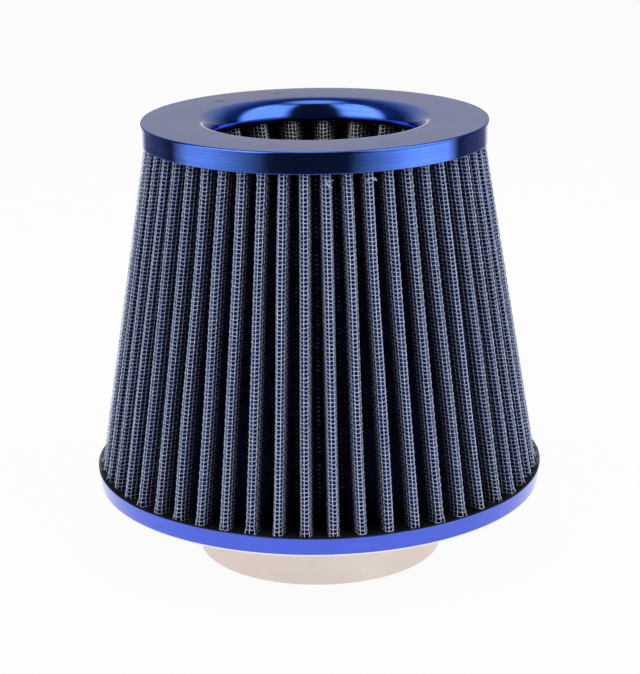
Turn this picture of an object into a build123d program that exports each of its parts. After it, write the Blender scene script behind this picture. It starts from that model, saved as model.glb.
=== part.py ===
from build123d import *
import os
from math import cos, radians, sin

# Cone air filter: a pleated cone with a bell-mouthed top, and a smaller inverted cone inside it.
# All sizes are in millimetres. The origin is the centre of the neck's foot, and +Z runs up the axis.

# Overall
filter_height = 142.0

# Neck that fits over the intake pipe
neck_bore = 76.0
neck_wall = 1.8
neck_drop = 23.7
neck_flange = 104.0
neck_clearance = 0.7

# Base pan, pressed from sheet, with a slightly tapered wall
pan_diameter = 145.0
pan_foot_diameter = 143.2
pan_height = 5.8
pan_sheet = 0.7

# Top cap, pressed from sheet, with the bell mouth turned down in its middle
cap_diameter = 110.0
cap_height = 6.6
cap_edge = 0.6
cap_sheet = 1.0
throat_diameter = 64.0
mouth_width = 6.4
mouth_depth = 7.0

# Urethane that the ends of the pleats are set in
base_potting_bore = 96.0
base_potting_recess = 0.8
cap_potting_recess = 0.5

# Folded filter sheet: gauze between two wire screens, pressed as one
media_thickness = 1.55
pleat_clearance = 0.4
outer_pleats_around = 52
outer_flank_angle = 8.5
inner_pleats_around = 20
inner_flank_angle = 40.0
inner_first_ridge = 13.0
inner_tip_diameter = 34.0
inner_tip_level = 60.0

# Closed end of the inner cone
end_cap_floor = 3.0
end_cap_lip = 2.0
end_cap_wall = 2.0

# Levels and radii that several pieces share
neck_outside = neck_bore / 2 + neck_wall
pan_seat = neck_drop + pan_sheet
pan_rim = neck_drop + pan_height
pan_outside = pan_diameter / 2
pan_foot = pan_foot_diameter / 2
pan_inside = pan_outside - pan_sheet
pan_taper = (pan_outside - pan_foot) / pan_height
pan_floor_edge = pan_inside - pan_taper * (pan_rim - pan_seat)
pan_hole = neck_outside + neck_clearance
base_potting_top = pan_rim - base_potting_recess
base_potting_edge = pan_inside - pan_taper * base_potting_recess
cap_outside = cap_diameter / 2
cap_inside = cap_outside - cap_sheet
cap_rim = filter_height - cap_height
cap_underside = filter_height - cap_sheet
cap_potting_face = cap_rim + cap_potting_recess
throat_inside = throat_diameter / 2
throat_outside = throat_inside + cap_sheet
throat_level = filter_height - mouth_depth
mouth_edge = throat_inside + mouth_width


def crease_radius(ridge_radius, around, flank_angle, facing):
    """Radius of the creases between the ridges of a folded sheet.

    Ridges face outwards with facing 1 and inwards with facing -1. Each flank leaves its ridge at
    flank_angle from the ridge's own radius, and two flanks meet at the crease half a pitch away.
    """
    ridge_centre = ridge_radius - facing * media_thickness
    flank = radians(flank_angle)
    half_pitch = radians(180 / around)
    return (ridge_centre * sin(flank) + facing * media_thickness) / sin(flank + facing * half_pitch)


def fold_points(level, around, fold_radius, crease, facing, turn, first_fold):
    """Corners of one side of a folded sheet, at a height, in order round the axis.

    The sheet is pressed round its folds at fold_radius, which face out or in, and is creased sharp
    between them. The press leaves three flats on a fold, which touch a circle as wide as the sheet
    is thick and turn the sheet from flank to flank.
    """
    half_pitch = 180 / around
    corner_reach = media_thickness / cos(radians(turn / 4))
    outward = 0 if facing > 0 else 180
    points = []
    for fold in range(around):
        angle = first_fold + 2 * half_pitch * fold
        centre = Vector(fold_radius, 0, level).rotate(Axis.Z, angle)
        for share in (-0.75, -0.25, 0.25, 0.75):
            corner_angle = angle + outward + facing * share * turn
            points.append(centre + Vector(corner_reach, 0).rotate(Axis.Z, corner_angle))
        points.append(Vector(crease, 0, level).rotate(Axis.Z, angle + half_pitch))
    return points


def ridge_side(level, ridge_radius, around, flank_angle, facing, first_ridge):
    """Corners of the side of the sheet that its ridges show, at a height."""
    centre_radius = ridge_radius - facing * media_thickness
    crease = crease_radius(ridge_radius, around, flank_angle, facing)
    return fold_points(level, around, centre_radius, crease, facing, 90 - flank_angle, first_ridge)


def crease_side(level, ridge_radius, around, flank_angle, facing, first_ridge):
    """Corners of the side of the sheet behind its ridges, at a height."""
    centre_radius = ridge_radius - facing * media_thickness
    crease = crease_radius(ridge_radius, around, flank_angle, facing)
    half_pitch = 180 / around
    turn = 90 - flank_angle - facing * half_pitch
    return fold_points(level, around, crease, centre_radius, -facing, turn, first_ridge + half_pitch)


def pleat_pack(base, top, folds):
    """Folded sheet that runs straight from its base end to its top end.

    A ridge keeps its section all the way, so each flat, shoulder and flank of the sheet is plane.
    """
    rings = [[side(*end, *folds) for end in (base, top)] for side in (ridge_side, crease_side)]
    faces = []
    for low, high in rings:
        for k in range(len(low)):
            faces.append(Face(Wire.make_polygon([low[k - 1], low[k], high[k], high[k - 1]])))
    for end in (0, 1):
        loops = sorted((Wire.make_polygon(ring[end]) for ring in rings), key=lambda loop: Face(loop).area)
        faces.append(Face(loops[1], [loops[0]]))
    return Solid(Shell(faces))


# Outer pack: ridges outwards, just inside the cap above and the pan below, a groove to the front
outer_top = (cap_potting_face, cap_inside - pleat_clearance)
outer_base = (base_potting_top, base_potting_edge - pleat_clearance)
outer_folds = (outer_pleats_around, outer_flank_angle, 1, 180 / outer_pleats_around - 90)

# Inner pack: ridges inwards, just outside the throat above, closing in towards its tip
inner_top = (cap_potting_face, throat_outside + pleat_clearance)
inner_tip = (inner_tip_level, inner_tip_diameter / 2)
inner_folds = (inner_pleats_around, inner_flank_angle, -1, inner_first_ridge)

# The closed end's lip clears the inner pack, which widens upwards
tip_outside = crease_radius(inner_tip[1], *inner_folds[:3]) + media_thickness
top_outside = crease_radius(inner_top[1], *inner_folds[:3]) + media_thickness
inner_spread = (top_outside - tip_outside) / (cap_potting_face - inner_tip_level)
lip_inside = tip_outside + inner_spread * end_cap_lip + pleat_clearance

os.makedirs("parts", exist_ok=True)

with BuildPart() as neck:
    with BuildSketch():
        Circle(neck_outside)
    extrude(amount=pan_seat)
    with BuildSketch(Plane.XY.offset(pan_seat)):
        Circle(neck_flange / 2)
    extrude(amount=neck_wall)
    Hole(neck_bore / 2)
neck.part.label = "neck"
export_step(neck.part, "parts/neck.step")

with BuildPart() as base_pan:
    with BuildSketch(Plane.XZ):
        with BuildLine():
            Polyline(
                (pan_foot, neck_drop),
                (pan_outside, pan_rim),
                (pan_inside, pan_rim),
                (pan_floor_edge, pan_seat),
                (pan_hole, pan_seat),
                (pan_hole, neck_drop),
                close=True,
            )
        make_face()
    revolve(axis=Axis.Z)
base_pan.part.label = "base_pan"
export_step(base_pan.part, "parts/base_pan.step")

with BuildPart() as base_potting:
    with BuildSketch(Plane.XZ):
        with BuildLine():
            Polyline(
                (base_potting_bore / 2, base_potting_top),
                (base_potting_edge, base_potting_top),
                (pan_floor_edge, pan_seat),
                (neck_flange / 2, pan_seat),
                (neck_flange / 2, pan_seat + neck_wall),
                (base_potting_bore / 2, pan_seat + neck_wall),
                close=True,
            )
        make_face()
    revolve(axis=Axis.Z)
base_potting.part.label = "base_potting"
export_step(base_potting.part, "parts/base_potting.step")

with BuildPart() as top_cap:
    with BuildSketch(Plane.XZ):
        with BuildLine():
            EllipticalCenterArc(
                (mouth_edge, throat_level), mouth_width, mouth_depth, start_angle=90, arc_size=90
            )
            Polyline(
                (mouth_edge, filter_height),
                (cap_outside - cap_edge, filter_height),
                (cap_outside, filter_height - cap_edge),
                (cap_outside, cap_rim),
                (cap_inside, cap_rim),
                (cap_inside, cap_underside),
                (mouth_edge, cap_underside),
                (throat_outside, cap_potting_face),
                (throat_outside, throat_level),
                (throat_inside, throat_level),
            )
        make_face()
    revolve(axis=Axis.Z)
top_cap.part.label = "top_cap"
export_step(top_cap.part, "parts/top_cap.step")

with BuildPart() as top_potting:
    with BuildSketch(Plane.XZ):
        with BuildLine():
            Polyline(
                (throat_outside, cap_potting_face),
                (cap_inside, cap_potting_face),
                (cap_inside, cap_underside),
                (mouth_edge, cap_underside),
                close=True,
            )
        make_face()
    revolve(axis=Axis.Z)
top_potting.part.label = "top_potting"
export_step(top_potting.part, "parts/top_potting.step")

with BuildPart() as outer_pleats:
    add(pleat_pack(outer_base, outer_top, outer_folds))
outer_pleats.part.label = "outer_pleats"
export_step(outer_pleats.part, "parts/outer_pleats.step")

with BuildPart() as inner_pleats:
    add(pleat_pack(inner_tip, inner_top, inner_folds))
inner_pleats.part.label = "inner_pleats"
export_step(inner_pleats.part, "parts/inner_pleats.step")

with BuildPart() as inner_end_cap:
    with BuildSketch(Plane.XZ):
        with BuildLine():
            Polyline(
                (0, inner_tip_level),
                (lip_inside, inner_tip_level),
                (lip_inside, inner_tip_level + end_cap_lip),
                (lip_inside + end_cap_wall, inner_tip_level + end_cap_lip),
                (lip_inside + end_cap_wall, inner_tip_level - end_cap_floor),
                (0, inner_tip_level - end_cap_floor),
                close=True,
            )
        make_face()
    revolve(axis=Axis.Z)
inner_end_cap.part.label = "inner_end_cap"
export_step(inner_end_cap.part, "parts/inner_end_cap.step")
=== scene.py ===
"""Cone air filter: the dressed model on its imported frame, with its studio and its camera.

Sizes are in millimetres and are turned into metres where a mesh is made. +Z runs up the filter's
axis from the foot of its neck, and -Y faces the camera.
"""

import logging
import math
from dataclasses import dataclass
from enum import Enum
from typing import Any

import bpy
import numpy as np
from mathutils import Matrix, Vector


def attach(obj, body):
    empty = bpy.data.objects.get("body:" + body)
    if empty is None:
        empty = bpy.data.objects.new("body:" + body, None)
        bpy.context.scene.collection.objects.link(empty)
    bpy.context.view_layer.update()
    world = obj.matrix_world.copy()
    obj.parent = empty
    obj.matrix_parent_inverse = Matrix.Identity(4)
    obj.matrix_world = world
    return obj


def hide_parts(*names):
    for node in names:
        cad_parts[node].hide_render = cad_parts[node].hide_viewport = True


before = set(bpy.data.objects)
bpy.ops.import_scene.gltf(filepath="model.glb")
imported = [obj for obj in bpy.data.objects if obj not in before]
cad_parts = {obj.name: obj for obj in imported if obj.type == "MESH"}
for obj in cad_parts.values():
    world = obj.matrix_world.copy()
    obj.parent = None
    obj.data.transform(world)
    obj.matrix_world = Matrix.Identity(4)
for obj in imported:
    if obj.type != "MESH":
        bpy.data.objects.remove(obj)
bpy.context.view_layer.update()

MM = 0.001
TAU = 2 * math.pi
Array = np.ndarray
Material = bpy.types.Material
Socket = bpy.types.NodeSocket
Span = tuple[float, float]
Colour = tuple[float, float, float]
Place = tuple[float, float, float]
Stops = tuple[float, float, float, float]
log = logging.getLogger("cone_air_filter")

# Sizes that several pieces share
SEGMENTS = 208
PAN_SEAT = 24.4
FLANGE = 52.0
FLANGE_TOP = 26.2
CASTING_TOP = 28.7
CAP_FACE = 135.9
OUTER_RIDGES = 52
FIRST_OUTER_RIDGE = 180 / OUTER_RIDGES - 90

# Rounded corners: sides in an arc, way from its ends to their guard points, largest cosine, least length
ARC_STEPS = 5
GUARD = 0.1
STRAIGHT = 0.9999
TINY = 1e-6


class Side(Enum):
    """The way that the ridges of a folded sheet face."""

    OUT = 1
    IN = -1


class Nodes:
    """A material's node tree, with short ways to add nodes and join them."""

    def __init__(self, name: str) -> None:
        """Start an empty material.

        Args:
            name: The material's name.
        """
        self.material = bpy.data.materials.new(name)
        self.material.use_nodes = True
        self.tree = self.material.node_tree
        self.tree.nodes.clear()

    def add(self, kind: str, inputs: dict[Any, Any] | None = None, **settings: Any) -> bpy.types.Node:
        """Add a node and fill its inputs.

        Args:
            kind: The node's type, without the ShaderNode that starts its name.
            inputs: Values or other nodes' outputs, by the input's name or number.
            **settings: The node's own properties.

        Returns:
            The new node.
        """
        node = self.tree.nodes.new("ShaderNode" + kind)
        for key, value in settings.items():
            setattr(node, key, value)
        for key, value in (inputs or {}).items():
            if isinstance(value, Socket):
                self.tree.links.new(value, node.inputs[key])
            else:
                node.inputs[key].default_value = value
        return node

    def place(self, scale: Place = (1.0, 1.0, 1.0), kind: str = "Object") -> Socket:
        """Give coordinates stretched by a scale, from the object's place or from its own UV map."""
        where = self.add("TexCoord").outputs[kind]
        return self.add("Mapping", {"Vector": where, "Scale": scale}).outputs["Vector"]

    def noise(self, scale: float, detail: float = 3.0, where: Socket | None = None) -> Socket:
        """Give a soft random pattern from 0 to 1, its mean near a half."""
        where = self.place() if where is None else where
        return self.add("TexNoise", {"Vector": where, "Scale": scale, "Detail": detail}).outputs["Fac"]

    def waves(self, pitch: float) -> list[Socket]:
        """Give two sines of a pitch in millimetres, across and along the sheet of the UV map."""
        parts = self.add("SeparateXYZ", {"Vector": self.place((TAU / pitch,) * 3, "UV")})
        return [self.math("SINE", parts.outputs[axis]) for axis in ("X", "Y")]

    def between(self, share: Socket, low: Any, high: Any, ends: Span = (0.3, 0.7)) -> Socket:
        """Run straight from one number or colour to another.

        Args:
            share: The value that the result follows.
            low: Result up to the first end.
            high: Result from the second end on.
            ends: Where the change starts and stops.

        Returns:
            The number or colour.
        """
        if isinstance(low, tuple):
            ramp = self.add("ValToRGB", {"Fac": share})
            for stop, place, colour in zip(ramp.color_ramp.elements, ends, (low, high)):
                stop.position = place
                stop.color = (*colour, 1.0)
            return ramp.outputs["Color"]
        span = {"Value": share, 1: ends[0], 2: ends[1], 3: low, 4: high}
        return self.add("MapRange", span).outputs["Result"]

    def math(self, operation: str, first: Any, second: Any = 0.0) -> Socket:
        """Give the result of one sum on two values."""
        return self.add("Math", {0: first, 1: second}, operation=operation).outputs[0]

    def scaled(self, colour: Any, share: Socket) -> Socket:
        """Give a colour times a share."""
        return self.add("VectorMath", {0: colour, "Scale": share}, operation="SCALE").outputs[0]

    def own_share(self) -> Socket:
        """Give the share, from 0 to 1, that the piece's mesh holds at each point."""
        return self.add("Attribute", attribute_name="share").outputs["Fac"]

    def bump(self, height: Socket, depth: float, strength: float = 1.0) -> Socket:
        """Give a normal tilted by a height pattern whose full range is depth, in metres."""
        inputs = {"Height": height, "Distance": depth, "Strength": strength}
        return self.add("Bump", inputs).outputs["Normal"]

    def finish(self, surface: Socket) -> Material:
        """Join a shader to the material's output and return the material."""
        self.add("OutputMaterial", {"Surface": surface})
        return self.material

    def principled(self, inputs: dict[str, Any]) -> Material:
        """Finish the material with a principled shader of those inputs."""
        return self.finish(self.add("BsdfPrincipled", inputs).outputs["BSDF"])


@dataclass(frozen=True)
class BlueMetal:
    """Bright blue anodised sheet, with faint turning lines and a thin haze of handling marks.

    Each chip is a small spot where colour and shine are gone: a place and a radius, in millimetres.
    A chipped sheet also scales its colour and coat by its own share of painted light at each
    point, which is low where shade is painted.
    """

    name: str
    deep: Colour
    light: Colour
    polish: float
    coat: float
    chips: tuple[tuple[float, ...], ...] = ()
    chip_share: float = 0.12
    chip_edge: Span = (1.0, 1.6)

    def sound(self, nodes: Nodes) -> Any:
        """Find the sound metal, where the distance to each chip over its radius, plus a noise, is large.

        Args:
            nodes: The material's nodes.

        Returns:
            1 on sound metal and little in a chip.
        """
        where = nodes.place()
        ragged = nodes.noise(2600.0, where=where)
        share = 1.0
        for *spot, radius in self.chips:
            ends = {0: where, 1: Vector(spot) * MM}
            gap = nodes.add("VectorMath", ends, operation="DISTANCE").outputs["Value"]
            gap = nodes.math("ADD", nodes.math("DIVIDE", gap, radius * MM), ragged)
            share = nodes.math("MULTIPLY", nodes.between(gap, self.chip_share, 1.0, self.chip_edge), share)
        return share

    def material(self) -> Material:
        """Build the material: metal whose colour and polish drift slowly, with lines round its axis.

        Returns:
            The material.
        """
        nodes = Nodes(self.name)
        drift = nodes.noise(55.0)
        lines = nodes.noise(1.0, 4.0, nodes.place((0.012, 2.4, 1.0), "UV"))
        marks = nodes.noise(900.0, 2.0)
        rough = nodes.math("ADD", nodes.between(lines, 0.0, 0.05), nodes.between(drift, 0.0, 0.03))
        relief = nodes.math("ADD", lines, nodes.math("MULTIPLY", marks, 0.25))
        tone = nodes.math("ADD", nodes.math("MULTIPLY", drift, 0.4), nodes.math("MULTIPLY", lines, 0.6))
        colour, coat = nodes.between(tone, self.deep, self.light, (0.38, 0.62)), self.coat
        metal, gloss = 1.0, 0.5
        if self.chips:
            metal = self.sound(nodes)
            gloss = nodes.math("MULTIPLY", metal, gloss)
            # Painted shade: the colour and coat follow the piece's own share of painted light.
            sound_and_lit = nodes.math("MULTIPLY", metal, nodes.own_share())
            colour, coat = nodes.scaled(colour, sound_and_lit), nodes.math("MULTIPLY", sound_and_lit, self.coat)
        return nodes.principled({
            "Base Color": colour,
            "Metallic": metal,
            "Specular IOR Level": gloss,
            "Roughness": nodes.math("ADD", rough, self.polish),
            "Coat Weight": coat,
            "Coat IOR": 1.6,
            "Coat Roughness": 0.08,
            "Normal": nodes.bump(relief, 0.000008),
        })


@dataclass(frozen=True)
class BareMetal:
    """Bare bright metal, with fine lines round it from turning."""

    name: str
    deep: Colour
    light: Colour

    def material(self) -> Material:
        """Build the material: satin metal with close turning lines and slow stains.

        Returns:
            The material.
        """
        nodes = Nodes(self.name)
        lines = nodes.noise(1.0, 4.0, nodes.place((0.010, 5.0, 1.0), "UV"))
        return nodes.principled({
            "Base Color": nodes.between(nodes.noise(70.0), self.deep, self.light),
            "Metallic": 1.0,
            "Roughness": nodes.between(lines, 0.26, 0.36),
            "Normal": nodes.bump(lines, 0.000003),
        })


@dataclass(frozen=True)
class Urethane:
    """Black cast urethane, glossy where it set against air."""

    deep: Colour = (0.006, 0.006, 0.007)
    light: Colour = (0.016, 0.016, 0.019)

    def material(self) -> Material:
        """Build the material: black gloss with slow ripples and small pits.

        Returns:
            The material.
        """
        nodes = Nodes("black_cast_urethane")
        ripples, pits = nodes.noise(240.0, 2.0), nodes.noise(1500.0)
        relief = nodes.math("ADD", ripples, nodes.math("MULTIPLY", pits, 0.12))
        return nodes.principled({
            "Base Color": nodes.between(pits, self.deep, self.light),
            "Roughness": nodes.between(ripples, 0.22, 0.42),
            "Specular IOR Level": 0.14,
            "Normal": nodes.bump(relief, 0.00018),
        })


@dataclass(frozen=True)
class ScreenWire:
    """Pale coated wire of the screens, its colour painted lit on the ridges and painted in shade between
    them.
    """

    name: str
    dull: Colour = (0.47, 0.56, 0.87)
    bright: Colour = (0.76, 0.84, 1.00)

    def material(self) -> Material:
        """Build the material: satin coated metal, its colour and shine times the wire's own share of painted
        light.

        Returns:
            The material.
        """
        nodes = Nodes(self.name)
        mottle, share = nodes.noise(420.0), nodes.own_share()
        return nodes.principled({
            "Base Color": nodes.scaled(nodes.between(mottle, self.dull, self.bright), share),
            "Metallic": 0.4,
            "Roughness": nodes.between(mottle, 0.50, 0.36),
            "Specular IOR Level": nodes.math("MULTIPLY", share, 0.5),
        })


@dataclass(frozen=True)
class Gauze:
    """Dark blue oiled cotton gauze, with painted shade down in its folds, where only the screen's crossings
    show.

    Its threads run up and across the folded sheet.
    """

    name: str
    deep: Colour = (0.003, 0.006, 0.042)
    light: Colour = (0.010, 0.020, 0.140)
    thread_pitch: float = 0.42
    crossing: Colour = (0.40, 0.38, 0.38)
    screen_pitch: float = 1.38

    def crossings(self, nodes: Nodes) -> Socket:
        """Give 1 at the crossings of the screen, where two sines across and along the sheet both peak."""
        return nodes.between(nodes.math("MINIMUM", *nodes.waves(self.screen_pitch)), 0.0, 1.0, (0.62, 0.80))

    def weave(self, nodes: Nodes, pitch: float) -> Socket:
        """Give the height of a weave, from 0 to 1: the larger of two sines across and along the sheet."""
        return nodes.between(nodes.math("MAXIMUM", *nodes.waves(pitch)), 0.0, 1.0, (-0.6, 1.0))

    def material(self) -> Material:
        """Build the material: matt threads, darker where more oil has soaked in, with painted shade down in
        a fold.

        Returns:
            The material.
        """
        nodes = Nodes(self.name)
        lit = nodes.own_share()
        # Painted shade: the threads' colour times the gauze's own share of painted light.
        threads = nodes.scaled(nodes.between(nodes.noise(160.0, 4.0), self.deep, self.light), lit)
        bare = nodes.between(nodes.noise(260.0, 2.0), 0.1, 1.0, (0.42, 0.60))
        dots = nodes.math("MULTIPLY", self.crossings(nodes), nodes.between(lit, 1.0, 0.0, (0.45, 0.6)))
        dots = nodes.math("MULTIPLY", dots, bare)
        both = nodes.add("VectorMath", {0: threads, 1: nodes.scaled(self.crossing, dots)}, operation="ADD")
        return nodes.principled({
            "Base Color": both.outputs[0],
            "Roughness": 0.8,
            "Specular IOR Level": 0.12,
            "Normal": nodes.bump(self.weave(nodes, self.thread_pitch), 0.0001, 0.8),
        })


@dataclass(frozen=True)
class ScreenedGauze(Gauze):
    """The sheet's other side, where the same wire screen lies flat on the gauze."""

    wire: Colour = (0.40, 0.43, 0.60)
    wire_edge: Span = (0.80, 0.86)

    def material(self) -> Material:
        """Build the material: pale wires where the screen's height is near its top, gauze elsewhere.

        Returns:
            The material.
        """
        nodes = Nodes(self.name)
        height = self.weave(nodes, self.screen_pitch)
        wires = nodes.between(height, 0.0, 1.0, self.wire_edge)
        return nodes.principled({
            "Base Color": nodes.between(height, self.deep, self.wire, self.wire_edge),
            "Metallic": nodes.math("MULTIPLY", wires, 0.7),
            "Roughness": nodes.between(wires, 0.8, 0.42, (0.0, 1.0)),
            "Normal": nodes.bump(height, 0.0003, 0.8),
        })


def make_piece(name: str, finishes: list[Material], points: Array, faces: Array, uv: Array | None = None,
               slots: Array | None = None, share: Array | None = None) -> bpy.types.Object:
    """Put arrays of points and faces into a smooth mesh object at the origin.

    Args:
        name: The piece's name.
        finishes: Its materials.
        points: Places in millimetres, along the last axis.
        faces: Point numbers, four to a row. A triangle repeats its last number.
        uv: A UV place for each corner of each face, in millimetres, or None.
        slots: The number of each face's material, or None for the first.
        share: Each point's own share of painted light, from 0 to 1, or None.

    Returns:
        The new object, in the scene.
    """
    mesh = bpy.data.meshes.new(name)
    corner_counts = np.where(faces[:, 3] == faces[:, 2], 3, 4)
    kept = np.arange(4) < corner_counts[:, None]
    mesh.vertices.add(points.size // 3)
    mesh.vertices.foreach_set("co", (points * MM).astype(np.float32).ravel())
    mesh.loops.add(int(corner_counts.sum()))
    mesh.loops.foreach_set("vertex_index", faces[kept].astype(np.int32))
    mesh.polygons.add(len(faces))
    mesh.polygons.foreach_set("loop_start", (np.cumsum(corner_counts) - corner_counts).astype(np.int32))
    mesh.polygons.foreach_set("use_smooth", np.ones(len(faces), dtype=bool))
    for finish in finishes:
        mesh.materials.append(finish)
    if slots is not None:
        mesh.polygons.foreach_set("material_index", slots.astype(np.int32))
    mesh.update(calc_edges=True)
    if uv is not None:
        mesh.uv_layers.new(name="sheet").data.foreach_set("uv", uv[kept].astype(np.float32).ravel())
    if share is not None:
        mesh.attributes.new("share", "FLOAT", "POINT").data.foreach_set("value", share.astype(np.float32))
    piece = bpy.data.objects.new(name, mesh)
    bpy.context.scene.collection.objects.link(piece)
    return piece


def dress(piece: bpy.types.Object, slot: str, *nodes: str) -> None:
    """Set a piece on the filter's body, and hide the CAD nodes it stands for.

    Args:
        piece: The piece.
        slot: Its material slot in the record; not used.
        *nodes: The CAD nodes that it hides.
    """
    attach(piece, "root")
    if nodes:
        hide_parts(*nodes)
    log.info("%s: %d faces", piece.name, len(piece.data.polygons))


def grid_faces(rows: int, columns: int, closed: bool) -> Array:
    """Number the four corners of each face of a grid of points whose last column joins its first.

    Args:
        rows: Points along the first parameter.
        columns: Points along the second parameter.
        closed: Join the last row to the first too.

    Returns:
        Point numbers, four to a row, turning from the first parameter's row to its next column.
    """
    i, j = np.meshgrid(np.arange(rows if closed else rows - 1), np.arange(columns), indexing="ij")
    up, right = (i + 1) % rows, (j + 1) % columns
    corners = (i * columns + j, i * columns + right, up * columns + right, up * columns + j)
    return np.stack([corner.ravel() for corner in corners], axis=1)


def grid_uv(along: Array, across: Array) -> Array:
    """Give a UV place to each corner of a grid's faces, from the edges of its rows and columns.

    Args:
        along: UV places of the columns' edges, one more than the columns of faces.
        across: UV places of the rows' edges, one more than the rows of faces.

    Returns:
        UV places, one face to a row and four corners to a face.
    """
    j, i = np.meshgrid(np.arange(len(along) - 1), np.arange(len(across) - 1))
    corners = [(along[j + a], across[i + b]) for a, b in ((0, 0), (1, 0), (1, 1), (0, 1))]
    return np.stack([np.stack([u.ravel(), v.ravel()], axis=1) for u, v in corners], axis=1)


def spun(out: Any, aside: Any, angle: Any, level: Any) -> Array:
    """Turn places round the axis: x is out cos a - aside sin a, and y is out sin a + aside cos a.

    Args:
        out: Distance out from the axis.
        aside: Distance to the left of the way out.
        angle: Angle a of the way out from +X, in radians.
        level: Height.

    Returns:
        Points, over the shape that the four values share.
    """
    cosine, sine = np.cos(angle), np.sin(angle)
    places = (out * cosine - aside * sine, out * sine + aside * cosine, level)
    return np.stack(np.broadcast_arrays(*places), axis=-1)


def unit(vectors: Array) -> Array:
    """Scale the vectors along the last axis to a length of one."""
    return vectors / np.linalg.norm(vectors, axis=-1, keepdims=True)


def rounded(corners: Any) -> Array:
    """Round the corners of a closed outline.

    Each corner becomes an arc that touches its two sides, with a guard point on each side just
    outside the arc so that flat sides stay flat in smooth shading. A corner of no radius stays.

    Args:
        corners: Radius from the axis, level and rounding radius, one corner to a row.

    Returns:
        Radius from the axis and level of the outline's points.
    """
    corners = np.array(corners)
    place, size = corners[:, :2], corners[:, 2:]
    back, ahead = (unit(np.roll(place, shift, axis=0) - place) for shift in (1, -1))
    half = np.arccos(np.clip((back * ahead).sum(axis=1, keepdims=True), -STRAIGHT, STRAIGHT)) / 2
    reach = size / np.tan(half)
    middle = back + ahead
    middle = middle / np.maximum(np.linalg.norm(middle, axis=1, keepdims=True), TINY)
    centre = place + middle * size / np.sin(half)
    start, end = place + back * reach - centre, place + ahead * reach - centre
    turn = (np.pi - 2 * half)[:, None]
    share = np.linspace(0, 1, ARC_STEPS + 1)[None, :, None]
    arc = np.sin((1 - share) * turn) * start[:, None] + np.sin(share * turn) * end[:, None]
    arc = centre[:, None] + arc / np.sin(turn)
    before, after = place + back * (reach + GUARD), place + ahead * (reach + GUARD)
    points = np.concatenate([before[:, None], arc, after[:, None]], axis=1)
    sharp = size[:, 0] == 0
    points[sharp, 1] = place[sharp]
    kept = np.ones(points.shape[:2], dtype=bool)
    kept[sharp] = np.arange(ARC_STEPS + 3) == 1
    return points[kept]


def way_round(loop: Array) -> Array:
    """Give the way along a closed loop to each of its points, and to the first again."""
    steps = np.linalg.norm(np.roll(loop, -1, axis=0) - loop, axis=1)
    return np.concatenate([[0.0], np.cumsum(steps)])


def fan(ring: Array, hub: int) -> Array:
    """Number the faces, turning the ring's own way, that close a ring of points round a hub."""
    return np.stack([ring, np.roll(ring, -1), 0 * ring + hub, 0 * ring + hub], axis=1)


def turned(profile: Array, segments: int) -> tuple[Array, Array, Array]:
    """Turn a closed outline round the axis.

    A point at radius r and level z goes to (r cos a, r sin a, z) at each angle a. The outline runs
    so that the solid is on its left, with the radius to the right and the level upwards.

    Args:
        profile: Radius and level of the outline's points.
        segments: Steps round the axis.

    Returns:
        Points, one outline point to a row of angles; faces; UV places, round the axis first.
    """
    points = spun(profile[:, :1], 0.0, np.arange(segments) * TAU / segments, profile[:, 1:])
    faces = grid_faces(len(profile), segments, True)
    along = np.linspace(0, TAU, segments + 1) * profile[:, 0].max()
    return points, faces, grid_uv(along, way_round(profile))


def ringed(marks: Array) -> Array:
    """Give 1 to each face of a turned outline that lies between two marked points, and 0 elsewhere."""
    return np.repeat((marks & np.roll(marks, -1)).astype(int), SEGMENTS)


@dataclass(frozen=True)
class TopCap:
    """Pressed cap over the top of the pleats, with the bell mouth turned down in its middle.

    Black urethane covers the lip up to a height over its end: cast urethane that wetted it, and a dark
    band that stands in for shade low in the throat. Shade is also painted into the throat: the share of
    colour and coat rises from its least to 1 between two heights over the lip's end.
    """

    metal: Material
    urethane: Material
    radius: float = 55.0
    top: float = 142.0
    rim: float = 135.4
    sheet: float = 1.0
    throat: float = 32.0
    mouth_width: float = 5.5
    mouth_depth: float = 7.2
    mouth_turn: Span = (90.0, 173.0)
    mouth_points: int = 24
    edge_round: float = 0.65
    rim_round: float = 0.14
    hem_round: float = 0.35
    wetted_and_shaded: float = 0.3
    throat_shade_heights: Span = (0.5, 2.3)
    throat_least_light: float = 0.05

    def build(self) -> None:
        """Turn the sheet's section into the cap and dress it.

        The section is a wall, a flat, and an ellipse a quarter round from the flat to the throat.
        """
        lip, mouth = self.top - self.mouth_depth, self.throat + self.mouth_width
        turn = np.radians(np.linspace(*self.mouth_turn, self.mouth_points))
        face, under = (np.stack([mouth + (self.mouth_width - inset) * np.cos(angle),
                                 lip + (self.mouth_depth - inset) * np.sin(angle), 0 * angle], axis=1)
                       for inset, angle in ((0.0, turn), (self.sheet, turn[::-2])))
        inside, hem = self.radius - self.sheet, self.hem_round
        profile = rounded(np.concatenate([
            [(self.radius, self.rim, self.rim_round), (self.radius, self.top, self.edge_round)],
            face,
            [(self.throat, lip, hem), (self.throat + self.sheet, lip, hem)],
            under,
            [(inside, self.top - self.sheet, hem), (inside, self.rim, hem)],
        ]))
        height = profile[:, 1] - self.top + self.mouth_depth
        throat = profile[:, 0] < mouth
        # Painted shade: the colour and coat fade to near nothing low in the throat.
        throat_light = np.where(throat, np.interp(height, self.throat_shade_heights, (self.throat_least_light, 1.0)), 1.0)
        # A black urethane band at the lip's end, which also stands in for shade there.
        piece = make_piece("bell_mouth_cap", [self.metal, self.urethane], *turned(profile, SEGMENTS),
                           ringed(throat & (height < self.wetted_and_shaded)), np.repeat(throat_light, SEGMENTS))
        dress(piece, "blue_metal", "top_cap")


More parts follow.
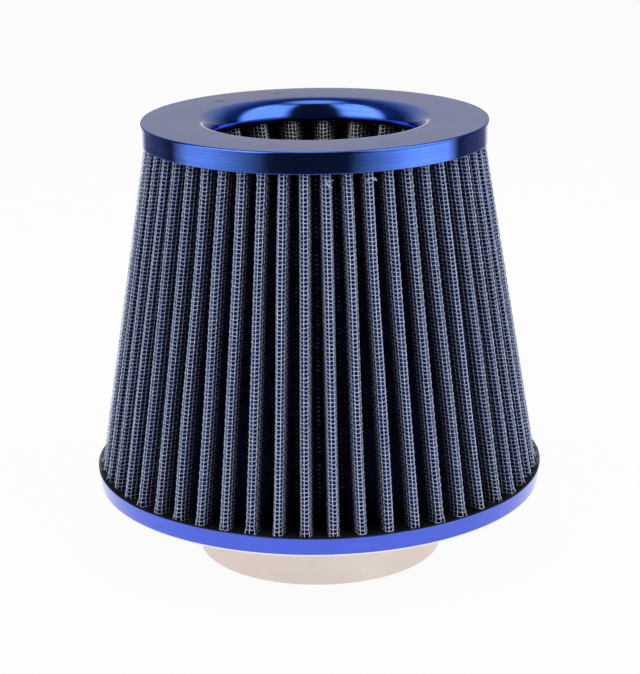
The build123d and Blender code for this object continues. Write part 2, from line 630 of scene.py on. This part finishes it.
@dataclass(frozen=True)
class BasePan:
    """Pressed pan under the pleats, with a tapered wall and a plain hole for the neck.

    The wall is rolled a little lower than the floor. Up to a height round the roll it is pale:
    worn bare metal, and a painted highlight along the pan's lower edge.
    """

    metal: Material
    bright: Material
    rim_radius: float = 72.5
    foot_radius: float = 71.6
    hole: float = 40.5
    rim: float = 29.5
    foot: float = 23.7
    sheet: float = 0.7
    foot_round: float = 0.9
    seat_round: float = 0.36
    rim_round: float = 0.294
    hole_round: float = 0.1176
    roll: float = 0.5
    roll_width: float = 2.6
    worn_and_lit: float = 0.85

    def build(self) -> None:
        """Turn the sheet's section, wall and floor of one thickness, into the pan and dress it."""
        taper = (self.rim_radius - self.foot_radius) / (self.rim - self.foot)
        seat, lowest = self.foot + self.sheet, self.foot - self.roll
        roll_inside, rim_inside = self.foot_radius - self.roll_width, self.rim_radius - self.sheet
        profile = rounded([
            (roll_inside - self.roll, self.foot, self.roll),
            (roll_inside, lowest, self.roll),
            (self.foot_radius, lowest, self.foot_round),
            (self.rim_radius, self.rim, self.rim_round),
            (rim_inside, self.rim, self.rim_round),
            (rim_inside - taper * (self.rim - seat), seat, self.seat_round),
            (self.hole, seat, self.hole_round),
            (self.hole, self.foot, self.hole_round),
        ])
        # Pale edge round the roll: worn metal and a painted highlight.
        edge = (profile[:, 0] > self.foot_radius - self.foot_round) & (profile[:, 1] < lowest + self.worn_and_lit)
        finishes = [self.metal, self.bright]
        piece = make_piece("base_pan_sheet", finishes, *turned(profile, SEGMENTS), ringed(edge))
        dress(piece, "blue_metal", "base_pan")


@dataclass(frozen=True)
class Neck:
    """Turned neck that clamps on the intake pipe, flanged over the pan's floor."""

    metal: Material
    bore: float = 38.0
    outside: float = 39.8
    edge_round: float = 0.45
    bore_round: float = 1.35

    def build(self) -> None:
        """Turn the neck's section, an upright wall under a flat flange, and dress it."""
        profile = rounded([
            (self.outside, 0.0, self.edge_round),
            (self.outside, PAN_SEAT, self.edge_round),
            (FLANGE, PAN_SEAT, self.edge_round),
            (FLANGE, FLANGE_TOP, self.edge_round),
            (self.bore, FLANGE_TOP, self.bore_round),
            (self.bore, 0.0, self.edge_round),
        ])
        dress(make_piece("clamp_neck", [self.metal], *turned(profile, SEGMENTS)), "neck_metal", "neck")


@dataclass(frozen=True)
class BasePotting:
    """Urethane cast into the pan round the feet of the pleats."""

    urethane: Material
    bore: float = 48.0
    edge: float = 72.47
    floor_edge: float = 71.0
    bore_round: float = 0.8
    foot_round: float = 0.3
    flange_round: float = 0.2
    top_margins: Span = (0.2, 2.0)
    top_points: int = 26
    steps_a_ridge: int = 8
    rim_climb: float = 1.06
    rim_reach: float = 2.2
    ridge_climb: float = 0.9
    ridge_reach: float = 1.6
    ridge_radius: float = 71.25
    flat: float = 0.05

    def build(self) -> None:
        """Turn the casting's section and draw its top up where it wets the pan and the ridges.

        The top rises by an exponential of the distance to the pan's wall, and by a bell curve of
        the radius times a raised cosine round the axis at each ridge.
        """
        top = np.linspace(self.edge - self.top_margins[0], self.bore + self.top_margins[1], self.top_points)
        profile = rounded(np.concatenate([
            [(self.edge, CASTING_TOP, 0.0)],
            np.stack([top, 0 * top + CASTING_TOP, 0 * top], axis=1),
            [(self.bore, CASTING_TOP, self.bore_round), (self.bore, FLANGE_TOP, self.foot_round),
             (FLANGE, FLANGE_TOP, self.flange_round), (FLANGE, PAN_SEAT, self.flange_round),
             (self.floor_edge, PAN_SEAT, self.foot_round)],
        ]))
        points, faces, uv = turned(profile, self.steps_a_ridge * OUTER_RIDGES)
        x, y, level = np.moveaxis(points, 2, 0)
        radius, angle = np.hypot(x, y), np.arctan2(y, x) - math.radians(FIRST_OUTER_RIDGE)
        rim = self.rim_climb * np.exp((radius - self.edge) / self.rim_reach)
        ridge = self.ridge_climb * np.exp(-((radius - self.ridge_radius) / self.ridge_reach) ** 2)
        ridge = ridge * (0.5 + 0.5 * np.cos(OUTER_RIDGES * angle)) ** 2
        points[..., 2] += np.where(level > CASTING_TOP - self.flat, np.maximum(rim, ridge), 0.0)
        piece = make_piece("base_casting", [self.urethane], points, faces, uv)
        dress(piece, "black_urethane", "base_potting")


@dataclass(frozen=True)
class InnerEndCap:
    """Moulded urethane disc that closes the tip of the inner cone, with a shallow groove underneath."""

    urethane: Material
    radius: float = 24.63
    lip: float = 22.63
    foot: float = 57.0
    seat: float = 60.0
    top: float = 62.0
    hub: float = 0.4
    groove: Stops = (9.0, 9.6, 19.0, 19.6)
    groove_depth: float = 0.6
    groove_rounds: Span = (0.5, 0.4)
    edge_round: float = 1.2
    top_round: float = 0.7
    lip_round: float = 0.6
    segments: int = 128

    def build(self) -> None:
        """Turn the disc's section, close both its middles with a fan of faces, and dress it."""
        floor = (self.foot, self.foot + self.groove_depth, self.foot + self.groove_depth, self.foot)
        profile = rounded([
            (self.hub, self.foot, 0.0),
            *zip(self.groove, floor, self.groove_rounds + self.groove_rounds[::-1]),
            (self.radius, self.foot, self.edge_round), (self.radius, self.top, self.top_round),
            (self.lip, self.top, self.lip_round), (self.lip, self.seat, self.lip_round),
            (self.hub, self.seat, 0.0),
        ])
        points = turned(profile, self.segments)[0].reshape(-1, 3)
        ring, hub = np.arange(self.segments), len(points)
        faces = np.concatenate([
            grid_faces(len(profile), self.segments, False),
            fan(ring, hub)[:, [1, 0, 2, 3]],
            fan(hub - self.segments + ring, hub + 1),
        ])
        points = np.concatenate([points, [(0.0, 0.0, self.foot), (0.0, 0.0, self.seat)]])
        piece = make_piece("inner_end_disc", [self.urethane], points, faces)
        dress(piece, "black_urethane", "inner_end_cap")


@dataclass(frozen=True)
class PleatPack:
    """Cone of filter sheet folded into straight ridges: gauze with a wire screen on each side.

    A ridge turns round a centre that is one sheet thickness behind it. Lift is the height over that
    centre: none on the sheet's back, and a full thickness on the ridge's own face. The low and high
    ends are a level and a ridge radius each, and a tuft is the number of a ridge and a level.
    """

    name: str
    node: str
    gauze: Material
    screened: Material
    wire: Material
    around: int
    flank_angle: float
    side: Side
    first_ridge: float
    low: Span
    high: Span
    pieces: int
    seed: int
    tufts: tuple[Span, ...] = ()
    thickness: float = 1.55
    crown_points: int = 5
    crease_points: int = 4
    gauze_rows: int = 12
    gauze_lift: float = 0.80
    back_lift: float = 0.12
    crown_light: float = 1.0
    flank_light: float = 0.75
    crease_light: float = 0.40
    sway: float = 0.36
    sway_waves: int = 7
    wires_each_way: int = 4
    wire_lift: float = 1.22
    wire_radius: float = 0.155
    weave_height: float = 0.13
    wire_pitch: float = 1.38
    row_pitch: float = 1.22
    row_bends: Stops = (-1.5, -0.5, 0.5, 1.5)
    row_skew: float = 0.035
    row_ripple: float = 0.10
    ripple_turns: Place = (1.7, 3.1, 0.6)
    crease_gap: float = 0.3
    foot_gap: Span = (0.1, 0.8)
    least_foot_gap: float = 0.2
    top_gap: float = 0.25
    least_top_gap: float = 0.1
    splay: float = 0.6
    splay_fade: float = 1.2
    wire_light_reach: Stops = (1.4, 2.8, 4.1, 5.6)
    wire_light_share: Stops = (1.0, 0.74, 0.28, 0.05)
    dip_reach: Span = (0.6, 2.2)
    dip_shade: Span = (0.08, 0.92)
    fray_wires: int = 5
    fray_points: int = 7
    fray_length: Span = (1.02, 1.7)
    fray_lift: Span = (0.48, 1.2)

    @property
    def flank(self) -> float:
        """Angle between a flank and its ridge's own radius, in radians."""
        return math.radians(self.flank_angle)

    @property
    def turn(self) -> float:
        """Angle that the sheet turns from a ridge's crown to its flank, in radians."""
        return math.pi / 2 - self.flank

    @property
    def half_pitch(self) -> float:
        """Angle round the axis from a ridge to the crease beside it, in radians."""
        return math.pi / self.around

    @property
    def rise(self) -> Span:
        """Height of the pack, and how far its ridges lead outwards over it."""
        return self.high[0] - self.low[0], self.high[1] - self.low[1]

    def ridge_angle(self, number: Array) -> Array:
        """Angle of a ridge from +X, in radians."""
        return math.radians(self.first_ridge) + 2 * self.half_pitch * number

    def ridge_centre(self, level: Any) -> Any:
        """Radius of a ridge's centre, which runs straight from the low end to the high end."""
        radius = np.interp(level, (self.low[0], self.high[0]), (self.low[1], self.high[1]))
        return radius - self.side.value * self.thickness

    def crease(self, level: Any) -> Any:
        """Radius where flanks meet: centre times sin(flank) plus thickness, over sin(flank + half pitch)."""
        reach = self.ridge_centre(level) * math.sin(self.flank) + self.side.value * self.thickness
        return reach / math.sin(self.flank + self.side.value * self.half_pitch)

    def wander(self, points: Array) -> Array:
        """Shift points round the axis by slow waves, 2 to 8 ridges long, that fade out at both ends.

        Args:
            points: Places on or over the sheet.

        Returns:
            The places, shifted.
        """
        rng = np.random.default_rng(self.seed)
        x, y, level = np.moveaxis(points, -1, 0)
        angle, radius = np.arctan2(y, x), np.hypot(x, y)
        share = np.clip((level - self.low[0]) / self.rise[0], 0, 1)
        swing = np.zeros(share.shape)
        for wave in rng.integers(self.around // 8, self.around // 2, self.sway_waves):
            phase, bow, skew = rng.uniform(0, TAU), rng.normal(), rng.normal()
            bend = bow * np.sin(np.pi * share) + 0.5 * skew * np.sin(TAU * share)
            swing += np.sin(wave * angle + phase) * bend
        angle = angle + self.sway * swing / math.sqrt(self.sway_waves) / radius
        return spun(radius, 0.0, angle, level)

    def place(self, pleat: Array, along: Array, level: Array, lift: Array) -> tuple[Array, Array]:
        """Find points over the ridge side of the sheet.

        Round the crown a point is the ridge centre plus lift times a unit vector that turns with
        the way along. Past the crown it leaves the end of the arc straight down the flank, and it
        stops just short of the crease.

        Args:
            pleat: Number of the ridge, counted round the axis.
            along: Way along the sheet from the ridge's crown, to either side.
            level: Height of the point.
            lift: Height over the ridge centre, or over the sheet's back on a flank.

        Returns:
            Points, and the directions that the sheet faces there.
        """
        facing, half, arc = self.side.value, self.half_pitch, self.wire_lift * self.turn
        centre, crease = self.ridge_centre(level), self.crease(level)
        length = facing * (centre - crease * math.cos(half)) * math.cos(self.flank)
        length = length + crease * math.sin(half) * math.sin(self.flank)
        limit = arc + length - self.crease_gap
        along = np.clip(along, -limit, limit)
        hand = np.where(along < 0, -1.0, 1.0)
        turn = np.minimum(np.abs(along) / self.wire_lift, self.turn)
        down = np.maximum(np.abs(along) - arc, 0.0)
        outwards = facing * (lift * np.cos(turn) - down * math.cos(self.flank)) + centre
        sideways = hand * (lift * np.sin(turn) + down * math.sin(self.flank))
        angle = self.ridge_angle(pleat)
        out, lean = facing * np.cos(turn), self.rise[1] / self.rise[0]
        faces = spun(out, hand * np.sin(turn), angle, -lean * out)
        return self.wander(spun(outwards, sideways, angle, level)), unit(faces)

    def section(self, level: float, lift: float) -> Array:
        """Trace the sheet once round the axis at a level and a lift.

        Each fold is an arc round its ridge centre, a straight flank, and an arc round the crease,
        whose radius is what the lift leaves of the thickness. The other half is its mirror image.

        Args:
            level: Height.
            lift: Height over the ridge centres.

        Returns:
            Points, in order round the axis.
        """
        facing, half, rest = self.side.value, self.half_pitch, self.thickness - lift
        crown = np.linspace(0, self.turn, self.crown_points)
        over = self.ridge_centre(level) + facing * lift * np.cos(crown)
        ridge = spun(over, lift * np.sin(crown), 0.0, level)
        bend = np.linspace(self.turn - facing * half, 0, self.crease_points)
        fold = spun(self.crease(level) - facing * rest * np.cos(bend), -rest * np.sin(bend), half, level)
        right = np.concatenate([ridge, fold])
        loop = np.concatenate([right[:0:-1] * (1, -1, 1), right[:-1]])
        angle = self.ridge_angle(np.arange(self.around))[:, None]
        return spun(loop[:, 0], loop[:, 1], angle, level).reshape(-1, 3)

    def build_gauze(self) -> None:
        """Build the folded gauze as one closed sheet, its ridge side and its back of two finishes.

        Both sides are ruled surfaces between their sections at the pack's two ends. The sheet's share
        of painted light is full on its crowns, less where a flank starts, and little in the creases.
        """
        share = np.linspace(0, 1, self.gauze_rows)[:, None, None]
        sides = [(1 - share) * self.section(self.low[0], lift) + share * self.section(self.high[0], lift)
                 for lift in (self.gauze_lift, self.back_lift)]
        points = self.wander(np.concatenate([sides[0], sides[1][::-1]]))
        rows, columns = points.shape[:2]
        height = np.concatenate([points[:, 0, 2], points[:1, 0, 2]])
        faces, uv = grid_faces(rows, columns, True), grid_uv(way_round(points[rows // 4]), height)
        if self.side is Side.IN:
            faces, uv = faces[:, ::-1], uv[:, ::-1]
        slots = np.repeat((np.arange(rows) >= rows // 2 - 1).astype(int), columns)
        # Share of painted light: full on the crowns, painted shade on the flanks and deeper in the creases.
        half = np.concatenate([np.full(self.crown_points - 1, self.crown_light), [self.flank_light],
                               np.full(self.crease_points, self.crease_light)])
        lit = np.tile(np.concatenate([half[:0:-1], half[:-1]]), rows * self.around)
        finishes = [self.gauze, self.screened]
        piece = make_piece(self.name + "_gauze", finishes, points, faces, uv, slots, lit)
        dress(piece, "filter_sheet", self.node)

    def wire_mesh(self, paths: Array, faces_out: Array) -> tuple[Array, Array]:
        """Carry a three-sided section along wires, each of as many points.

        The section's corners lie at the wire's radius along the sheet's direction and at a third of
        a turn to either side of it.

        Args:
            paths: Points of the wires, one wire to a row.
            faces_out: The direction that the sheet faces at each point.

        Returns:
            Points and faces of the closed wires.
        """
        run = np.gradient(paths, axis=1)
        aside = unit(np.cross(run, faces_out))
        over = unit(np.cross(aside, run))
        corner = math.pi / 2 + TAU * np.arange(3)[:, None] / 3
        ring = np.cos(corner) * aside[:, :, None] + np.sin(corner) * over[:, :, None]
        points = paths[:, :, None] + self.wire_radius * ring
        wires, steps = paths.shape[:2]
        last = 3 * (steps - 1)
        caps = [(0, 2, 1, 1), (last, last + 1, last + 2, last + 2)]
        one = np.concatenate([grid_faces(steps, 3, False)[:, ::-1], caps])
        faces = one + 3 * steps * np.arange(wires)[:, None, None]
        return points.reshape(-1, 3), faces.reshape(-1, 4)

    def wires(self, ridges: Array, upright: bool) -> tuple[Array, Array, Array]:
        """Lay the wires that run one way over some of the ridges.

        Upright wires stand a pitch apart along the sheet and cross rows a pitch apart in height. At
        crossing i, j the upright wire lifts by the weave's height if i + j is even and dips if it
        is odd, and the row's wire does the opposite. On the crown a row also bends halfway between
        two wires. Rows ripple by a sine of the way along, the ridge's number and i, each times its
        own turn. Shade is painted into a wire's share of light down a flank, and there the more so
        where it dips under another.
        The feet of the wires splay outwards over the casting.

        Args:
            ridges: The ridges' numbers, and the shift, foot, splay and skew of their wires.
            upright: Lay the upright wires, or else the rows.

        Returns:
            Points and faces of the wires, and each point's share of painted light.
        """
        number, shift, foot, splay, skew = ridges
        rows = np.arange(round(math.hypot(*self.rise) / self.row_pitch))
        columns = np.arange(-self.wires_each_way, self.wires_each_way + 1).astype(float)
        if not upright:
            columns = np.sort(np.concatenate([columns, self.row_bends]))
        i, j = rows[:, None], columns[None, :]
        along = (j + shift) * self.wire_pitch
        along_turn, ridge_turn, row_turn = self.ripple_turns
        ripple = self.row_ripple * np.sin(along_turn * along + ridge_turn * number + row_turn * i)
        step = (self.high[0] - self.top_gap - foot) / (len(rows) - 1)
        level = foot + step * (i + skew * along + ripple * (i > 0) * (i < rows[-1]))
        level = np.clip(level, self.low[0] + self.least_foot_gap, self.high[0] - self.least_top_gap)
        weave = np.where(j % 1 == 0, np.where((i + j) % 2 == 0, 1.0, -1.0), 0.0)
        weave = weave if upright else -weave
        lift = self.wire_lift + self.weave_height * weave + splay * np.exp(-self.splay_fade * i)
        along = np.broadcast_to(along, level.shape)
        paths, out = self.place(number, along, level, lift)
        off, under = np.abs(along), 1 - (0.5 + 0.5 * weave) ** 2
        # Painted shade: the wire's colour and shine fade down each flank and where it dips under another.
        wire_light = np.interp(off, self.wire_light_reach, self.wire_light_share)
        wire_light = wire_light * (1 - under * np.interp(off, self.dip_reach, self.dip_shade))
        if upright:
            paths, out, wire_light = (values.swapaxes(1, 2) for values in (paths, out, wire_light))
        length = paths.shape[2]
        points, faces = self.wire_mesh(paths.reshape(-1, length, 3), out.reshape(-1, length, 3))
        return points, faces, np.repeat(wire_light.ravel(), 3)

    def build_screen(self) -> None:
        """Weave the wire screen over the ridge side, in pieces of a few ridges each."""
        rng = np.random.default_rng(self.seed + 1)
        number = np.arange(self.around)
        shift = rng.uniform(-0.5, 0.5, self.around)
        foot = self.low[0] + rng.uniform(*self.foot_gap, self.around)
        splay = rng.uniform(0.0, self.splay, self.around)
        skew = rng.normal(0.0, self.row_skew, self.around)
        for count, chosen in enumerate(np.array_split(number, self.pieces), 1):
            ridges = np.array([number, shift, foot, splay, skew])[:, chosen, None, None]
            points, faces, worn_and_lit = zip(*(self.wires(ridges, upright) for upright in (True, False)))
            faces = np.concatenate([faces[0], faces[1] + len(points[0])])
            piece = make_piece(f"{self.name}_screen_{count}", [self.wire], np.concatenate(points), faces,
                               share=np.concatenate(worn_and_lit))
            dress(piece, "filter_sheet")

    def build_frays(self) -> None:
        """Bend broken wires away from the screen at a few places on the ridges.

        Each wire of a tuft sets off in its own direction over the crown and rises from it as the
        square of its way.
        """
        rng = np.random.default_rng(self.seed + 2)
        pleat, level = np.repeat(np.array(self.tufts, dtype=float), self.fray_wires, axis=0).T[..., None]
        heading = rng.uniform(0, TAU, pleat.shape)
        way = np.linspace(0, 1, self.fray_points)
        reach = rng.uniform(*self.fray_length, pleat.shape) * way
        lift = self.wire_lift + rng.uniform(*self.fray_lift, pleat.shape) * way ** 2
        paths, out = self.place(pleat, reach * np.cos(heading), level + reach * np.sin(heading), lift)
        points, faces = self.wire_mesh(paths, out)
        piece = make_piece(self.name + "_frays", [self.wire], points, faces, share=np.ones(len(points)))
        dress(piece, "filter_sheet")

    def build(self) -> None:
        """Build the gauze, its wire screen and any broken wires."""
        self.build_gauze()
        self.build_screen()
        if self.tufts:
            self.build_frays()


@dataclass(frozen=True)
class Panel:
    """A lit patch of the tent with soft edges.

    Bearings run round the axis in degrees, zero towards the camera and positive to its right, and
    elevations run up from the horizon. Between the four stops of each the light rises, holds and falls.
    """

    bearings: Stops
    elevations: Stops
    light: Colour


@dataclass(frozen=True)
class Tent:
    """Dark shell round the filter with lit panels, which shows only in reflections."""

    panels: tuple[Panel, ...]
    dark: float = 0.03
    centre: float = 140.0
    radius: float = 400.0
    elevations: Span = (-24.0, 89.9)
    rows: int = 72
    columns: int = 240

    def build(self) -> None:
        """Paint the sum of the panels' light on part of a sphere about the top of the filter.

        A panel's light is its colour times two stepped ramps, of the bearing and of the elevation.
        """
        bearing = np.linspace(0, 360, self.columns, endpoint=False)
        elevation = np.linspace(*self.elevations, self.rows)[:, None]
        glow = np.full((self.rows, self.columns, 3), self.dark)
        for panel in self.panels:
            middle = (panel.bearings[0] + panel.bearings[3]) / 2
            turn = (bearing - middle + 180) % 360 - 180 + middle
            across = np.interp(turn, panel.bearings, (0, 1, 1, 0))
            upwards = np.interp(elevation, panel.elevations, (0, 1, 1, 0))
            glow += (across * upwards)[..., None] * panel.light
        rise = np.radians(elevation)
        points = self.radius * spun(np.cos(rise), 0.0, np.radians(bearing - 90), np.sin(rise))
        nodes = Nodes("tent_light")
        paint = nodes.add("Attribute", attribute_name="glow").outputs["Color"]
        finish = nodes.finish(nodes.add("Emission", {"Color": paint, "Strength": 1.0}).outputs[0])
        faces = grid_faces(self.rows, self.columns, False)
        shell = make_piece("reflected_tent", [finish], points + (0.0, 0.0, self.centre), faces)
        colours = np.concatenate([glow, np.ones_like(glow[..., :1])], axis=2).astype(np.float32)
        shell.data.attributes.new("glow", "FLOAT_COLOR", "POINT").data.foreach_set("color", colours.ravel())
        for ray in ("camera", "diffuse", "transmission", "volume_scatter", "shadow"):
            setattr(shell, "visible_" + ray, False)


@dataclass(frozen=True)
class Softbox:
    """A rectangular lamp that faces the filter and lights its matt surfaces."""

    name: str
    place: Place
    aim: Place
    size: Span
    brightness: float

    def build(self) -> None:
        """Make an area lamp whose power is its brightness times its area times pi."""
        lamp = bpy.data.lights.new(self.name, "AREA")
        lamp.shape = "RECTANGLE"
        lamp.size, lamp.size_y = (side * MM for side in self.size)
        lamp.energy = self.brightness * math.pi * lamp.size * lamp.size_y
        box = bpy.data.objects.new(self.name, lamp)
        bpy.context.scene.collection.objects.link(box)
        box.location = Vector(self.place) * MM
        box.rotation_euler = (Vector(self.aim) - Vector(self.place)).to_track_quat("-Z", "Y").to_euler()
        box.visible_camera = False
        box.visible_glossy = False


@dataclass(frozen=True)
class Studio:
    """White sweep all round the filter, its softboxes, and the tent seen in its reflections."""

    sweep_radius: float = 1700.0
    sweep_bend: float = 500.0
    sweep_height: float = 1500.0
    floor_rings: Place = (1.0, 300.0, 700.0)
    bend_rings: int = 16
    segments: int = 96
    white: float = 0.86
    shown_white: float = 0.95
    sky: float = 0.06
    softboxes: tuple[Softbox, ...] = (
        Softbox("left_softbox", (-720, -500, 720), (0, 0, 100), (1000, 1100), 2.3),
        Softbox("right_softbox", (720, -500, 720), (0, 0, 100), (1000, 1100), 2.4),
        Softbox("top_softbox", (0, 330, 980), (0, 0, 80), (900, 420), 1.6),
    )
    tent: Tent = Tent((
        Panel((-99, -84, -66, -28), (-40, -30, -8, 8), (1.15, 1.15, 1.15)),
        Panel((20, 60, 88, 99), (-40, -30, -8, 8), (1.55, 1.55, 1.55)),
        Panel((-94, -82, -41, -28), (4, 12, 60, 74), (1.95, 1.95, 1.95)),
        Panel((29, 41, 92, 104), (4, 12, 60, 74), (1.90, 1.90, 1.90)),
        Panel((-400, -200, 200, 400), (72, 82, 95, 100), (1.60, 1.60, 1.60)),
        Panel((122, 158, 202, 238), (-14, -6, 34, 62), (0.42, 0.39, 0.36)),
        Panel((138, 156, 204, 222), (-40, -30, -1, 4), (2.40, 2.34, 2.43)),
        Panel((100, 112, 248, 260), (-40, -30, 0, 10), (0.10, 0.09, 0.12)),
        Panel((70, 95, 265, 290), (8, 20, 66, 78), (0.02, 0.05, 0.12)),
    ))

    def sweep_finish(self) -> Material:
        """Build matt white that the camera and reflections see as nearly even white, under soft shadows.

        Returns:
            The material.
        """
        nodes = Nodes("white_sweep")
        rays = nodes.add("LightPath").outputs
        seen = nodes.math("MAXIMUM", rays["Is Camera Ray"], rays["Is Glossy Ray"])
        seen = nodes.math("MAXIMUM", seen, rays["Is Transmission Ray"])
        matt = nodes.add("BsdfDiffuse", {"Color": (self.white, self.white, self.white, 1.0)})
        even = nodes.add("Emission", {"Color": (1.0, 1.0, 1.0, 1.0), "Strength": 1.0})
        share = nodes.math("MULTIPLY", seen, self.shown_white)
        mixed = nodes.add("MixShader", {0: share, 1: matt.outputs[0], 2: even.outputs[0]})
        return nodes.finish(mixed.outputs[0])

    def build_sweep(self) -> None:
        """Turn the sweep's section, floor, bend and wall, round the axis, and close its middle."""
        bend = np.linspace(0, np.pi / 2, self.bend_rings)
        radius = np.concatenate([self.floor_rings, self.sweep_radius - self.sweep_bend * (1 - np.sin(bend)),
                                 [self.sweep_radius]])[:, None]
        level = np.concatenate([np.zeros(len(self.floor_rings)), self.sweep_bend * (1 - np.cos(bend)),
                                [self.sweep_height]])[:, None]
        ring = np.arange(self.segments)
        points = spun(radius, 0.0, ring * TAU / self.segments, level)
        faces = np.concatenate([grid_faces(len(radius), self.segments, False)[:, ::-1],
                                fan(ring, points.size // 3)])
        points = np.concatenate([points.reshape(-1, 3), [(0.0, 0.0, 0.0)]])
        make_piece("sweep", [self.sweep_finish()], points, faces)

    def build(self) -> None:
        """Build the sweep, the lights, the tent and the world's own faint light."""
        self.build_sweep()
        for light in (*self.softboxes, self.tent):
            light.build()
        world = bpy.data.worlds.new("studio_air")
        bpy.context.scene.world = world
        world.use_nodes = True
        air = world.node_tree.nodes["Background"].inputs
        air["Color"].default_value = (1.0, 1.0, 1.0, 1.0)
        air["Strength"].default_value = self.sky


@dataclass(frozen=True)
class PhotoCamera:
    """Camera at the photograph's place and angle."""

    place: Place = (0.77, -615.0, 256.2)
    pitch: float = 16.86
    roll: float = -0.76
    lens: float = 105.72
    sensor: float = 36.0

    def build(self) -> None:
        """Set the camera level towards +Y, then tip it down by its pitch and turn it by its roll."""
        data = bpy.data.cameras.new("photo_camera")
        data.lens, data.sensor_width, data.sensor_fit = self.lens, self.sensor, "AUTO"
        camera = bpy.data.objects.new("photo_camera", data)
        bpy.context.scene.collection.objects.link(camera)
        tip = Matrix.Rotation(math.radians(90 - self.pitch), 4, "X")
        roll = Matrix.Rotation(math.radians(self.roll), 4, "Z")
        camera.matrix_world = Matrix.Translation(Vector(self.place) * MM) @ tip @ roll
        bpy.context.scene.camera = camera


def main() -> None:
    """Build the filter's pieces in order, then the studio and the camera."""
    logging.basicConfig(level=logging.INFO, format="%(name)s: %(message)s")
    chips = ((-12.6, 44.4, 142.0, 1.5), (-31.9, 31.0, 142.0, 1.5), (-30.2, 30.8, 142.0, 1.3))
    polished = BlueMetal("polished_blue_sheet", (0.040, 0.125, 0.560), (0.078, 0.200, 0.790),
                         polish=0.085, coat=0.35, chips=chips).material()
    satin = BlueMetal("satin_blue_sheet", (0.054, 0.105, 0.680), (0.072, 0.132, 0.780),
                      polish=0.15, coat=0.55).material()
    bare = BareMetal("bare_neck_metal", (0.715, 0.612, 0.550), (0.775, 0.677, 0.615)).material()
    # Pale lilac edge for the pan: worn bare metal and a painted highlight.
    worn_and_lit = BareMetal("worn_and_highlit_pan_edge", (0.86, 0.83, 0.93), (0.92, 0.90, 0.97)).material()
    black = Urethane().material()
    screened = ScreenedGauze("screen_on_gauze").material()
    gauze = Gauze("blue_cotton_gauze").material()
    wire = ScreenWire("coated_screen_wire").material()
    # Copies for the inner cone: the gauze painted darker as shade, the wire painted paler and greyer for its
    # light.
    shaded_gauze = Gauze("shaded_cotton_gauze", (0.004, 0.004, 0.008), (0.012, 0.013, 0.026)).material()
    shaded_wire = ScreenWire("shaded_screen_wire", (0.50, 0.51, 0.56), (0.94, 0.95, 1.00)).material()
    top_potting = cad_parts["top_potting"].data
    top_potting.materials.clear()
    top_potting.materials.append(black)
    for part in (
        TopCap(polished, black),
        BasePan(satin, worn_and_lit),
        Neck(bare),
        BasePotting(black),
        InnerEndCap(black),
        PleatPack("outer", "outer_pleats", gauze, screened, wire, around=OUTER_RIDGES, flank_angle=8.5,
                  side=Side.OUT, first_ridge=FIRST_OUTER_RIDGE, low=(CASTING_TOP, 71.27),
                  high=(CAP_FACE, 53.6), pieces=4, seed=11, tufts=((0, 132.6), (2, 133.4))),
        PleatPack("inner", "inner_pleats", shaded_gauze, screened, shaded_wire, around=20, flank_angle=40.0,
                  side=Side.IN, first_ridge=13.0, low=(60.0, 17.0), high=(CAP_FACE, 33.4),
                  pieces=1, seed=23),
        Studio(),
        PhotoCamera(),
    ):
        part.build()
    bpy.context.scene.view_settings.view_transform = "Standard"


if __name__ == "__main__":
    main()
